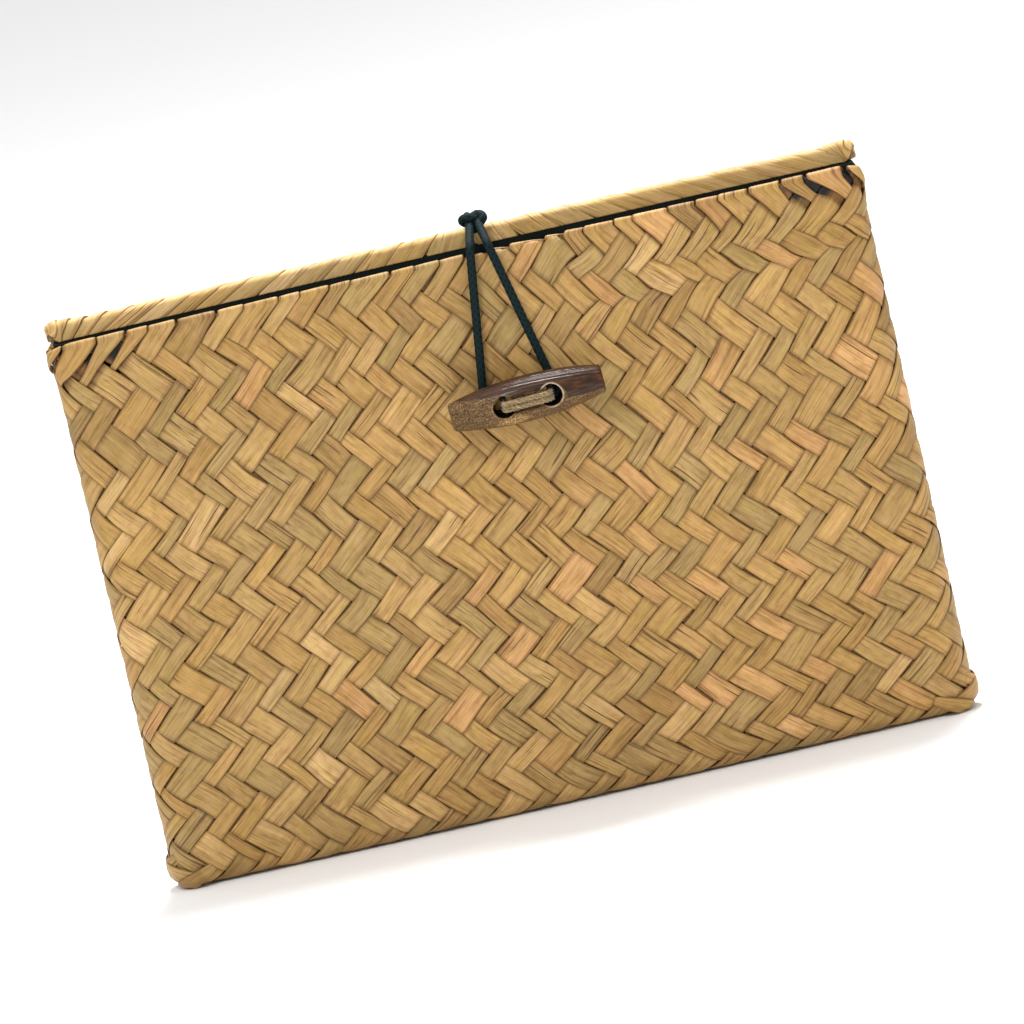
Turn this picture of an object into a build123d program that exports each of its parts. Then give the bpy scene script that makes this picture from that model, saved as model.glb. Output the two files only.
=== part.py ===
from build123d import *
import os

# A flat woven clutch: a plaited tube closed along its bottom, lined, with a band along the back rim,
# an elastic loop knotted over that band, and a wooden toggle sewn to the front.
# Millimetres. X runs along the width, the front faces -Y, Z is up.
# The origin is the centre of the flat bottom face that the clutch stands on.

# Driving dimensions
BAG_WIDTH = 260.0  # across the sides at mid height
RIM_WIDTH = 262.0  # across the sides at the front rim, where the tube is pressed flatter
FRONT_HEIGHT = 179.0  # rest face to the top of the front rim
BACK_HEIGHT = 185.8  # rest face to the top of the back rim band
SIDE_RADIUS = 9.5  # rounding of the tube's two sides in plan
RIM_SIDE_RADIUS = 6.5  # the same at the rim
BELLY = 2.5  # how far the front and back crown beyond that radius at the middle
RIM_BELLY = 1.8
BASE_ROUNDING = 7.0  # rounding of the bottom edges
WALL = 1.8  # two layers of plaited strip
STRIP = 0.5  # one strip lying on top of the plait
CLOTH = 0.5  # lining cloth with its hem
CORD_RADIUS = 1.375  # elastic cord
TWINE_RADIUS = 0.9
TURN_OFFSET = TWINE_RADIUS - 0.05  # the lashing's two turns lie one above the other, pressed together
THREAD_RADIUS = 0.25
TOGGLE_LENGTH = 49.2
TOGGLE_RADIUS = 7.2  # at the middle of the barrel
TOGGLE_END_RADIUS = 4.3
TOGGLE_HOLE_RADIUS = 3.5
TOGGLE_HOLE_SPACING = 15.1
TOGGLE_TILT = 2.0  # degrees, right end higher
TOGGLE_X = 12.5
TOGGLE_DROP = 47.0  # front rim down to the toggle's centre
KNOT_X = 8.5

# Derived places and clearances
TUCK_HEIGHT = 9.0  # where the rounded base ends and the upright walls begin
PANEL_GAP = 0.3  # front wall to its neighbours, so that it can lean forward
HINGE_GAP = 0.5
SEAM_GAP = 0.1
FULL_HEIGHT = FRONT_HEIGHT / 2  # the walls close in above this height
RIM_LAP = 11.0  # how far the folded strips reach down the outside of the front rim
RIM_HEM = 5.5  # and down the inside
LINING_DROP = 3.0  # front rim down to the top hem of the front lining
LINING_TOP_GAP = 0.8  # lining to wall at the hem
LINING_LOOSE_GAP = 2.6  # lining to wall where it hangs free
LINING_FREE_HEIGHT = FRONT_HEIGHT - 14.0
TOUCH = 0.15  # between pieces that rest on each other
CORD_Y_OFF = CORD_RADIUS + TOUCH
TOGGLE_Z = FRONT_HEIGHT - TOGGLE_DROP
LEG_OFFSET = TOGGLE_HOLE_SPACING / 2
BAND_LIP = 0.4  # the back rim band stands this much proud of the back wall
CORD_BEND = 2.6  # centre line radius of the cord's bends
ANCHOR_Z = FRONT_HEIGHT - 7.0  # where the loop's tails enter the back wall
ANCHOR_HALF_SPACING = 1.5


def smooth(t):
    """0 to 1 with flat ends."""
    t = min(max(t, 0.0), 1.0)
    return t * t * (3.0 - 2.0 * t)


def closing(z):
    """0 over the full lower half of the clutch, 1 at the rim."""
    return smooth((z - FULL_HEIGHT) / (FRONT_HEIGHT - FULL_HEIGHT))


def mix(low, high, share):
    return low + (high - low) * share


def side_radius(z):
    return mix(SIDE_RADIUS, RIM_SIDE_RADIUS, closing(z))


def belly(z):
    return mix(BELLY, RIM_BELLY, closing(z))


def half_flat(z):
    """Half the length of the nearly flat front, between the two rounded sides."""
    return mix(BAG_WIDTH, RIM_WIDTH, closing(z)) / 2 - side_radius(z)


def wall_depth(x, z):
    """Distance of the outer wall from the mid plane, over the nearly flat stretch."""
    return side_radius(z) + belly(z) * (1.0 - (x / half_flat(z)) ** 2)


def lining_inset(z):
    """The lining is sewn close to the wall at its hem and hangs free below."""
    loose = smooth((FRONT_HEIGHT - z) / (FRONT_HEIGHT - LINING_FREE_HEIGHT))
    return WALL + mix(LINING_TOP_GAP, LINING_LOOSE_GAP, loose)


def levels(bottom, top, count=7):
    return [mix(bottom, top, i / (count - 1)) for i in range(count)]


def crowned_arc(z, inset, gap, side):
    """The front (side -1) or back (side 1) wall line at one height, from left to right."""
    x = half_flat(z) - gap
    y = side_radius(z) - inset
    return ThreePointArc((-x, side * y, z), (0, side * (y + belly(z)), z), (x, side * y, z))


def closed_face(first, second):
    """The face between two lines that run the same way."""
    ends = Line(first @ 0, second @ 0), Line(first @ 1, second @ 1)
    return Face(Wire([*first.edges(), *second.edges(), *ends]))


def wall_plate(bottom, top, outer, inner, gap, side):
    """A front or back sheet between two insets from the outer surface; insets may vary with height."""
    faces = []
    for z in levels(bottom, top):
        outside = crowned_arc(z, outer(z), gap, side)
        inside = crowned_arc(z, inner(z), gap, side)
        faces.append(closed_face(outside, inside))
    return loft(faces)


def fixed(value):
    return lambda z: value


def side_arc(z, inset, hand):
    """The rounded side line, from front to back; hand is 1 on the right and -1 on the left."""
    centre = hand * half_flat(z)
    radius = side_radius(z) - inset
    return ThreePointArc((centre, -radius, z), (centre + hand * radius, 0, z), (centre, radius, z))


def woven_side(hand):
    faces = []
    for z in levels(TUCK_HEIGHT, FRONT_HEIGHT):
        faces.append(closed_face(side_arc(z, 0.0, hand), side_arc(z, WALL, hand)))
    return loft(faces)


def plan_outline(z, inset):
    """The whole closed plan line of the clutch at one height."""
    lines = [
        crowned_arc(z, inset, 0.0, -1),
        side_arc(z, inset, 1),
        crowned_arc(z, inset, 0.0, 1),
        side_arc(z, inset, -1),
    ]
    return Face(Wire(lines))


def tray(inset, floor, top, rounding):
    """A solid block with the clutch's plan and rounded bottom edges."""
    plan = Pos(0, 0, floor - TUCK_HEIGHT) * plan_outline(TUCK_HEIGHT, inset)
    block = extrude(plan, amount=top - floor, dir=(0, 0, 1))
    return fillet(block.faces().sort_by(Axis.Z)[0].edges(), rounding)


def base_shell(inset, floor, thickness, rounding):
    """A shallow tray of even thickness, open at the top."""
    top = TUCK_HEIGHT - HINGE_GAP
    outside = tray(inset, floor, top, rounding)
    inside = tray(inset + thickness, floor + thickness, top + 1.0, rounding - thickness)
    return outside - inside


def corner_tuck(hand):
    """The plaited tip that fills the rounded bottom corner."""
    width, depth, height, corner = 9.0, 8.0, 7.0, 2.4
    centre = Pos(hand * (BAG_WIDTH - width) / 2, 0, height / 2 + TOUCH)
    block = Box(width, depth, height)
    tip = centre * fillet(block.edges(), corner)
    return tip - tray(-TOUCH, -TOUCH, TUCK_HEIGHT + height, BASE_ROUNDING + TOUCH)


def front_rim_fold():
    """Strips folded over the front rim: an outer flap, a top edge and a short inner hem."""
    bottom = FRONT_HEIGHT - RIM_LAP
    slack = SEAM_GAP
    cap = wall_plate(bottom, FRONT_HEIGHT, fixed(-STRIP), fixed(WALL + STRIP), PANEL_GAP, -1)
    room_top = FRONT_HEIGHT - STRIP + slack
    room = wall_plate(bottom - slack, room_top, fixed(-slack), fixed(WALL + slack), 0.0, -1)
    hem_bottom = FRONT_HEIGHT - RIM_HEM
    below_hem = wall_plate(bottom - slack, hem_bottom, fixed(WALL / 2), fixed(2 * WALL), 0.0, -1)
    return cap - room - below_hem


def back_rim_band():
    """The rounded band that stands above the front rim, along the back and round both corners."""
    depth, corner, end_y = 3.4, 1.5, 0.8
    plan = plan_outline(FRONT_HEIGHT, -BAND_LIP) - plan_outline(FRONT_HEIGHT, depth)
    plan = plan & Pos(0, RIM_WIDTH / 2 + end_y, FRONT_HEIGHT) * Rectangle(2 * RIM_WIDTH, RIM_WIDTH)
    rise = BACK_HEIGHT - FRONT_HEIGHT - SEAM_GAP
    band = extrude(Pos(0, 0, SEAM_GAP) * plan, amount=rise, dir=(0, 0, 1))
    return fillet(band.edges(), corner)


def back_lining():
    """The back sheet of the pouch with both of its rounded sides."""
    faces = []
    for z in levels(TUCK_HEIGHT, FRONT_HEIGHT - SEAM_GAP):
        inset = lining_inset(z)
        lines = []
        for offset in (inset, inset + CLOTH):
            lines.append(
                [side_arc(z, offset, -1), crowned_arc(z, offset, 0.0, 1), side_arc(z, offset, 1)]
            )
        ends = [
            Line(lines[0][0] @ 0, lines[1][0] @ 0),
            Line(lines[0][2] @ 0, lines[1][2] @ 0),
        ]
        faces.append(Face(Wire([*lines[0], *lines[1], *ends])))
    return loft(faces)


def hem_stitches(z, side):
    """A row of running stitches along a lining hem."""
    length, pitch = 4.0, 9.0
    reach = int(half_flat(z) / pitch) - 1
    stitches = []
    for i in range(-reach, reach + 1):
        x = i * pitch
        off = lining_inset(z) + CLOTH + THREAD_RADIUS + 2 * TOUCH
        y = side * (wall_depth(x, z) - off)
        stitches.append(Pos(x, y, z) * Rot(0, 90, 0) * Cylinder(THREAD_RADIUS, length))
    return Compound(children=stitches)


# The knot rests against the top inner edge of the band, and the loop turns about its centre.
KNOT_RADIUS = 2.7
KNOT_HALF_LENGTH = 4.4
KNOT_Y = 2.8
KNOT_Z = BACK_HEIGHT + 1.2


def loop_knot():
    """A plump knot, round about the axis that the loop turns on."""
    crown = EllipticalCenterArc((0, 0), KNOT_HALF_LENGTH, KNOT_RADIUS, arc_size=180)
    half = Face(Wire([crown, Line(crown @ 1, crown @ 0)]))
    return Pos(KNOT_X, KNOT_Y, KNOT_Z) * revolve(half, Axis.X)


def round_cord(points):
    """A cord through these corners, rounded, and cut clear of the knot it runs into."""
    path = FilletPolyline(*points, radius=CORD_BEND)
    section = Plane(origin=path @ 0, z_dir=path % 0) * Circle(CORD_RADIUS)
    return sweep(section, path=path) - loop_knot()


def elastic_loop():
    """Two strands from the knot over the front rim, joined by a bend under the twine legs."""
    crest_y = -wall_depth(KNOT_X, FRONT_HEIGHT) - STRIP - CORD_Y_OFF - 0.3
    crest_z = FRONT_HEIGHT + 1.8
    bend_z = TOGGLE_Z - TWINE_RADIUS - CORD_RADIUS - 2.4
    bend_y = -wall_depth(TOGGLE_X, bend_z) - CORD_Y_OFF
    left_x, right_x = TOGGLE_X - 14.4, TOGGLE_X + 11.2
    return round_cord(
        [
            (KNOT_X - 1.6, KNOT_Y - 1.6, KNOT_Z - 1.6),
            (KNOT_X - 2.9, crest_y, crest_z),
            (left_x, bend_y, bend_z),
            (right_x, bend_y, bend_z),
            (KNOT_X + 2.7, crest_y, crest_z),
            (KNOT_X + 1.6, KNOT_Y - 1.6, KNOT_Z - 1.6),
        ]
    )


def loop_anchor():
    """The two tails of the loop, over the band, down its back and in through the wall."""
    top_z = BACK_HEIGHT + CORD_Y_OFF
    back_y = wall_depth(KNOT_X, FRONT_HEIGHT) + BAND_LIP + CORD_Y_OFF + SEAM_GAP
    inner_y = wall_depth(KNOT_X, ANCHOR_Z) - WALL - 0.3
    tails = []
    for x in (KNOT_X - ANCHOR_HALF_SPACING, KNOT_X + ANCHOR_HALF_SPACING):
        tails.append(
            round_cord(
                [
                    (x, KNOT_Y + 1.4, top_z),
                    (x, back_y, top_z),
                    (x, back_y, ANCHOR_Z),
                    (x, inner_y, ANCHOR_Z),
                ]
            )
        )
    return Compound(children=tails)


def back_panel():
    panel = wall_plate(
        TUCK_HEIGHT, FRONT_HEIGHT - SEAM_GAP, fixed(0.0), fixed(WALL), SEAM_GAP, 1
    )
    slot_width = 2 * (ANCHOR_HALF_SPACING + CORD_RADIUS + 2 * TOUCH)
    slot_height = 2 * (CORD_RADIUS + 2 * TOUCH)
    slot = Pos(KNOT_X, wall_depth(KNOT_X, ANCHOR_Z), ANCHOR_Z) * Box(slot_width, 6.0, slot_height)
    rounded = fillet(slot.edges().filter_by(Axis.Y), CORD_RADIUS)
    return panel - rounded


# The toggle is built level about its own centre, then tilted and placed on the cord behind it.
PANEL_Y = -wall_depth(TOGGLE_X, TOGGLE_Z)
TOGGLE_Y = PANEL_Y - 2 * CORD_RADIUS - 3 * TOUCH - TOGGLE_RADIUS
TOGGLE_PLACE = Pos(TOGGLE_X, TOGGLE_Y, TOGGLE_Z) * Rot(0, -TOGGLE_TILT, 0)
BRIDGE_Y = -TOGGLE_RADIUS + 0.6  # the twine lies sunk in the groove between the holes
GROOVE_RADIUS = 3.0  # wide enough for the toggle to turn a little round the twine
BACK_BRIDGE_Y = PANEL_Y - TOGGLE_Y + WALL + TWINE_RADIUS + 3 * TOUCH


def toggle():
    half = TOGGLE_LENGTH / 2
    bevel = 0.9
    left, right = (-half + bevel, TOGGLE_END_RADIUS, 0), (half - bevel, TOGGLE_END_RADIUS, 0)
    profile = [
        ThreePointArc(left, (0, TOGGLE_RADIUS, 0), right),
        Polyline(
            right,
            (half, TOGGLE_END_RADIUS - bevel, 0),
            (half, 0, 0),
            (-half, 0, 0),
            (-half, TOGGLE_END_RADIUS - bevel, 0),
            left,
        ),
    ]
    edges = [edge for line in profile for edge in line.edges()]
    barrel = revolve(Face(Wire(edges)), Axis.X)
    hole = Rot(90, 0, 0) * Cylinder(TOGGLE_HOLE_RADIUS, 4 * TOGGLE_RADIUS)
    groove = Pos(0, BRIDGE_Y - 0.8, 0) * Rot(0, 90, 0) * Cylinder(GROOVE_RADIUS, TOGGLE_HOLE_SPACING)
    barrel = barrel - Pos(-LEG_OFFSET, 0, 0) * hole - Pos(LEG_OFFSET, 0, 0) * hole - groove
    return TOGGLE_PLACE * barrel


def toggle_twine():
    """Two turns of twine, each with a bridge in the groove, two legs and a bridge behind the wall."""
    middle_y = (BRIDGE_Y + BACK_BRIDGE_Y) / 2
    ring = Pos(0, middle_y, 0) * RectangleRounded(
        TOGGLE_HOLE_SPACING, BACK_BRIDGE_Y - BRIDGE_Y, 1.5
    )
    path = ring.faces()[0].outer_wire()
    start = path.position_at(0)
    section = Plane(origin=start, z_dir=path.tangent_at(0)) * Circle(TWINE_RADIUS)
    turn = sweep(section, path=path)
    return TOGGLE_PLACE * (Pos(0, 0, TURN_OFFSET) * turn + Pos(0, 0, -TURN_OFFSET) * turn)


def twine_knot():
    """The flattened knot on the twine, between the wall and the lining."""
    length, depth, height, corner = 6.4, 2.2, 5.4, 1.0
    block = Box(length, depth, height)
    knot = fillet(block.edges(), corner)
    for z in (-TURN_OFFSET, TURN_OFFSET):
        knot = knot - Pos(0, 0, z) * Rot(0, 90, 0) * Cylinder(TWINE_RADIUS + 0.05, 2 * length)
    return TOGGLE_PLACE * Pos(0, BACK_BRIDGE_Y, 0) * knot


def front_panel():
    panel = wall_plate(
        TUCK_HEIGHT, FRONT_HEIGHT - STRIP, fixed(0.0), fixed(WALL), PANEL_GAP, -1
    )
    for leg in (-LEG_OFFSET, LEG_OFFSET):
        for z in (-TURN_OFFSET, TURN_OFFSET):
            hole = Pos(leg, PANEL_Y - TOGGLE_Y, z) * Rot(90, 0, 0) * Cylinder(TWINE_RADIUS + 0.3, 8.0)
            panel = panel - TOGGLE_PLACE * hole
    return panel


def front_lining():
    return wall_plate(
        TUCK_HEIGHT + HINGE_GAP,
        FRONT_HEIGHT - LINING_DROP,
        lining_inset,
        lambda z: lining_inset(z) + CLOTH,
        HINGE_GAP,
        -1,
    )


def build():
    floor_gap = WALL + 0.8
    return {
        "woven_front_panel": front_panel(),
        "woven_back_panel": back_panel(),
        "woven_left_side": woven_side(-1),
        "woven_right_side": woven_side(1),
        "woven_bottom": base_shell(0.0, 0.0, WALL, BASE_ROUNDING),
        "left_corner_tuck": corner_tuck(-1),
        "right_corner_tuck": corner_tuck(1),
        "front_rim_fold": front_rim_fold(),
        "back_rim_band": back_rim_band(),
        "front_lining": front_lining(),
        "back_lining": back_lining(),
        "bottom_lining": base_shell(WALL + LINING_LOOSE_GAP, floor_gap, CLOTH, 3.0),
        "front_hem_stitches": hem_stitches(FRONT_HEIGHT - LINING_DROP - 3.0, -1),
        "back_hem_stitches": hem_stitches(FRONT_HEIGHT - 4.0, 1),
        "elastic_loop": elastic_loop(),
        "loop_knot": loop_knot(),
        "loop_anchor": loop_anchor(),
        "toggle": toggle(),
        "toggle_twine": toggle_twine(),
        "twine_knot": twine_knot(),
    }


os.makedirs("parts", exist_ok=True)
for name, shape in build().items():
    export_step(shape, f"parts/{name}.step")
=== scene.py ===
import math
import random

import bpy
import numpy as np
from mathutils import Matrix, Vector


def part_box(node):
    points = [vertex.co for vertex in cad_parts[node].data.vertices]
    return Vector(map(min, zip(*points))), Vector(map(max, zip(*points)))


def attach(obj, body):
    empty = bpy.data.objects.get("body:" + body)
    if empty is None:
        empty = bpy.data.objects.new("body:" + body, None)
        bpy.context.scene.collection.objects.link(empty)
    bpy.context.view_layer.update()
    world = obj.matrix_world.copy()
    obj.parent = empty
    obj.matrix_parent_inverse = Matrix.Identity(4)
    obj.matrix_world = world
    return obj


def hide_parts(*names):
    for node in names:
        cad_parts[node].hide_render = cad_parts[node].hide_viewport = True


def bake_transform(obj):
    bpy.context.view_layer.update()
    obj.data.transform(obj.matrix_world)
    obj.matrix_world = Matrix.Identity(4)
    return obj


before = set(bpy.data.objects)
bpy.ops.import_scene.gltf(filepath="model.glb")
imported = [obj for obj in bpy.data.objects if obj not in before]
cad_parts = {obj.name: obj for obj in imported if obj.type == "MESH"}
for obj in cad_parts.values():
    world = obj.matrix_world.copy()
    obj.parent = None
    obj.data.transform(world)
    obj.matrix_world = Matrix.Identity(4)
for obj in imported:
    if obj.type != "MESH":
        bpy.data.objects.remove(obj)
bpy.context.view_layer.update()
rng = random.Random(41)

# ---------------------------------------------------------------- sizes, in metres, from the frame
MM = 0.001
base_low, base_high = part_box("woven_bottom")
panel_low, panel_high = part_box("woven_front_panel")
side_low, side_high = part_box("woven_right_side")
fold_low, fold_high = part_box("front_rim_fold")
band_low, band_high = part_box("back_rim_band")
toggle_low, toggle_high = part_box("toggle")
twine_low, twine_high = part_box("toggle_twine")
knot_low, knot_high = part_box("loop_knot")
loop_low, loop_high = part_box("elastic_loop")
tail_low, tail_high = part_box("loop_anchor")

HALF_WIDTH = base_high.x
RIM_HALF_WIDTH = side_high.x
HALF_DEPTH = base_high.y
RIM_Z = fold_high.z
TUCK_Z = panel_low.z
SIDE_ROUNDING = 9.5 * MM
RIM_SIDE_ROUNDING = 6.5 * MM
BELLY = HALF_DEPTH - SIDE_ROUNDING
RIM_BELLY = 1.8 * MM
BASE_ROUNDING = 7.0 * MM
WALL = 1.8 * MM
RIM_SINK = 0.25 * MM  # the rolled strips stand above the edge they are rolled over by this much
RIM_SAG = 0.35 * MM
CORD_RADIUS = (tail_high.x - tail_low.x - 3.0 * MM) / 2

# The plait: strips run at about 45 degrees, each over two and under two of the others.
# "rank" counts the crossings upwards: 4 ranks hold one row of rising and one of falling floats.
STRIPS_ROUND = 55  # of each direction, round the whole girth
LOW_RANK = -5.5  # at the middle of the base
TUCK_RANK = -1.7  # at TUCK_Z
TOP_RANK = 35.0  # above the rim everywhere
ROW_GAP = 20.75 * MM  # height of 4 ranks near the rim
ROW_SHRINK = 0.246 * MM  # the rows get lower towards the base
BASE_RUN = 19.3 * MM  # how far the plait runs on below TUCK_Z, to the middle of the base
BASE_Z = TUCK_Z - BASE_RUN
PLAIT_DEPTH = 0.8 * MM  # mid layer of the plait below the clutch's outer surface
STRIP_THICK = 0.42 * MM
WEAVE_LIFT = 0.52 * MM
STEPS_PER_RANK = 6


# ---------------------------------------------------------------- the clutch's surface
def smooth(t):
    t = np.clip(t, 0.0, 1.0)
    return t * t * (3.0 - 2.0 * t)


def level(z):
    """Half the flat stretch, side rounding and belly at height z."""
    close = smooth((z - RIM_Z / 2) / (RIM_Z / 2))
    flare = smooth((z - RIM_Z + 17 * MM) / (12 * MM))
    rounding = SIDE_ROUNDING + (RIM_SIDE_ROUNDING - SIDE_ROUNDING) * close
    belly = BELLY + (RIM_BELLY - BELLY) * close
    waist = 0.2 * MM * smooth((RIM_Z - z) / (25 * MM)) * smooth(z / (25 * MM))
    flat = HALF_WIDTH - waist + (RIM_HALF_WIDTH - HALF_WIDTH) * flare - rounding
    return flat, rounding, belly


def shell(u, z):
    """Outer surface. u is the share of the girth from the front's middle, positive to the right.
    Below TUCK_Z, z runs on round the base's edge to the middle of the base."""
    u, z = np.broadcast_arrays(np.asarray(u, float), np.asarray(z, float))
    flat, rounding, belly = level(np.maximum(z, TUCK_Z))
    straight = TUCK_Z - BASE_ROUNDING
    base_middle = SIDE_ROUNDING - BASE_ROUNDING + BELLY / 2
    true_run = straight + BASE_ROUNDING * math.pi / 2 + base_middle
    drop = np.maximum(TUCK_Z - z, 0.0) * true_run / BASE_RUN
    turn = np.clip((drop - straight) / BASE_ROUNDING, 0.0, math.pi / 2)
    across = np.clip((drop - straight - BASE_ROUNDING * math.pi / 2) / base_middle, 0.0, 1.0)
    height = np.where(z < TUCK_Z, TUCK_Z - np.minimum(drop, straight) - BASE_ROUNDING * np.sin(turn), z)
    radius = (rounding - BASE_ROUNDING * (1 - np.cos(turn))) * (1 - across)
    belly = belly * (1 - across)
    u = (u + 0.5) % 1.0 - 0.5
    run = np.abs(u) * (4 * flat + 2 * math.pi * rounding)
    angle = np.clip((run - flat) / rounding, 0.0, math.pi)
    along = np.where(run < flat, run, np.where(angle < math.pi, flat, 2 * flat + math.pi * rounding - run))
    x = np.sign(u) * (along + radius * np.sin(angle))
    y = -np.cos(angle) * (radius + belly * (1 - (along / flat) ** 2))
    return np.stack([x, y, height], axis=-1)


def unit(v):
    return v / np.maximum(np.linalg.norm(v, axis=-1, keepdims=True), 1e-12)


def outward(u, z):
    du, dz = 2e-4, 1e-4
    n = np.cross(shell(u + du, z) - shell(u - du, z), shell(u, z + dz) - shell(u, z - dz))
    small = np.linalg.norm(n, axis=-1) < 1e-12
    n[small] = (0, 0, -1)
    return unit(n)


def corner_droop(u):
    """How far the front rim rounds down at its two corners."""
    side = np.abs((u + 0.5) % 1.0 - 0.5)
    return 1.7 * MM * smooth((side - 0.226) / 0.022) * smooth((0.262 - side) / 0.008)


def rim_sink(u):
    """The rolled strips stand above the front edge, so it lies lower; it sags a little in the middle."""
    side = np.abs((u + 0.5) % 1.0 - 0.5)
    sag = RIM_SAG * (1 - smooth(side / 0.25))
    return (RIM_SINK + sag) * smooth((0.262 - side) / 0.008) + corner_droop(u)


def skin(u, z, lift):
    """A point at lift above the outer surface, rolled over the front rim where z passes RIM_Z."""
    roll = WALL / 2 + 0.25 * MM
    start = RIM_Z - roll - rim_sink(u)
    below = np.minimum(z, start)
    point, normal = shell(u, below), outward(u, below)
    normal[..., 2] = np.where(z > start, 0.0, normal[..., 2])
    normal = unit(normal)
    turn = np.clip((z - start) / roll, 0.0, math.pi)
    past = np.maximum(z - start - roll * math.pi, 0.0)
    out = (roll + lift) * np.cos(turn) - roll
    up = (roll + lift) * np.sin(turn) - past
    out = np.where(z > start, out, lift)
    up = np.where(z > start, up, 0.0)
    return point + normal * out[..., None] + np.array([0.0, 0.0, 1.0]) * up[..., None]


# ---------------------------------------------------------------- mesh helpers
def make_piece(name, verts, faces, material, layers=None, smooth_faces=True):
    mesh = bpy.data.meshes.new(name)
    mesh.from_pydata([tuple(v) for v in verts], [], faces)
    for key, values in (layers or {}).items():
        values = np.asarray(values, np.float32)
        kind = "FLOAT" if values.ndim == 1 else "FLOAT_VECTOR"
        layer = mesh.attributes.new(key, kind, "POINT")
        layer.data.foreach_set("value" if values.ndim == 1 else "vector", values.ravel())
    mesh.polygons.foreach_set("use_smooth", [smooth_faces] * len(mesh.polygons))
    mesh.materials.append(material)
    mesh.validate()
    obj = bpy.data.objects.new(name, mesh)
    bpy.context.scene.collection.objects.link(obj)
    return obj


class Bundle:
    """Collects closed tubes of rings, such as strips, into one mesh."""

    def __init__(self):
        self.verts, self.faces = [], []
        self.layers = {}
        self.count = 0

    def add(self, rings, layers, flip=False):
        """rings: (n, m, 3) array. layers: name to (n, m) or (n, m, 3) arrays."""
        n, m = rings.shape[:2]
        index = np.arange(n * m).reshape(n, m) + self.count
        a, b = index[:-1], np.roll(index[:-1], -1, axis=1)
        c, d = np.roll(index[1:], -1, axis=1), index[1:]
        order = (a, b, c, d) if flip else (a, d, c, b)
        self.faces.extend(np.stack(order, axis=-1).reshape(-1, 4).tolist())
        first, last = index[0].tolist(), index[-1].tolist()
        self.faces.append(first[::-1] if flip else first)
        self.faces.append(last if flip else last[::-1])
        self.verts.append(rings.reshape(-1, 3))
        for key, values in layers.items():
            self.layers.setdefault(key, []).append(values.reshape(n * m, -1).squeeze())
        self.count += n * m

    def piece(self, name, material):
        layers = {k: np.concatenate(v) for k, v in self.layers.items()}
        return make_piece(name, np.concatenate(self.verts), self.faces, material, layers)


# ---------------------------------------------------------------- the plaited walls
def mirrored_jitter(total, spread):
    """Random shifts of the strips' edges that match where front strips meet back strips under the base."""
    draw = np.array([rng.uniform(-spread, spread) for _ in range(STRIPS_ROUND)])
    numbers = np.arange(STRIPS_ROUND)
    return (draw - draw[(total - numbers) % STRIPS_ROUND]) / 2


EDGE_A = mirrored_jitter(22, 0.36)
EDGE_B = mirrored_jitter(33, 0.36)
RIPPLES = [(n, rng.uniform(20, 110), rng.uniform(0, 6.3), rng.uniform(0, 6.3)) for n in (5, 9, 14, 21)]


def warped(edges, count):
    """Strip count to place: the strips' edges lie unevenly, as narrow and wide strips alternate."""
    low = np.floor(count).astype(int)
    share = count - low
    first = edges[low % STRIPS_ROUND]
    second = edges[(low + 1) % STRIPS_ROUND]
    return count + first * (1 - share) + second * share


def row_height(rank):
    """Height of a rank: rows are tallest near the rim, and even on the base."""
    down = (28.5 - rank) / 4
    on_wall = 151.6 * MM - ROW_GAP * down + ROW_SHRINK * down * down
    edge = (28.5 - TUCK_RANK) / 4
    edge_z = 151.6 * MM - ROW_GAP * edge + ROW_SHRINK * edge * edge
    on_wall = on_wall + (TUCK_Z - edge_z) * smooth((12 - rank) / 12)
    on_base = TUCK_Z - (TUCK_RANK - rank) * BASE_RUN / (TUCK_RANK - LOW_RANK)
    return np.where(rank > TUCK_RANK, on_wall, on_base)


def place(a, b):
    """Girth share and height of the crossing of counts a (falling strips) and b (rising strips)."""
    real_a, real_b = warped(EDGE_A, a), warped(EDGE_B, b)
    u = (real_a + real_b) / (2 * STRIPS_ROUND)
    rank = real_a - real_b
    z = row_height(rank)
    body = np.sin(math.pi * np.clip(z / RIM_Z, 0.01, 0.99)) ** 0.7
    sway = 4.5 * MM * body * np.sin(4 * math.pi * u)
    hand = (u + 0.5) % 1.0 - 0.5
    right = smooth((hand - 0.025) / 0.04) * smooth((0.3 - hand) / 0.05)
    pressed = right * (3.4 * MM * smooth((rank - 28.5) / 2) + 3.5 * MM * smooth((rank - 30.5) / 2.5))
    lean = 0.0
    drift = 0.0
    free = smooth((z - BASE_Z) / (26 * MM))
    for turns, per_metre, first, second in RIPPLES:
        drift = drift + np.sin(2 * math.pi * turns * u + per_metre * z + first)
        lean = lean + np.sin(2 * math.pi * turns * u - per_metre * z + second)
    z = z - sway - pressed + free * 0.22 * MM * drift
    # the plait is not quite upright: the strips rising to the right lie flatter, most of all at the left
    slant = (0.10 - 0.05 * np.sin(2 * math.pi * u)) * smooth(z / (30 * MM)) * (z - 12 * MM)
    return u + (slant + free * 0.22 * MM * lean) / GIRTH, z


GIRTH = 4 * (HALF_WIDTH - SIDE_ROUNDING) + 2 * math.pi * SIDE_ROUNDING


def wave(q):
    s = np.sin(math.pi * q / 2)
    return np.sign(s) * np.abs(s) ** 0.62


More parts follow.
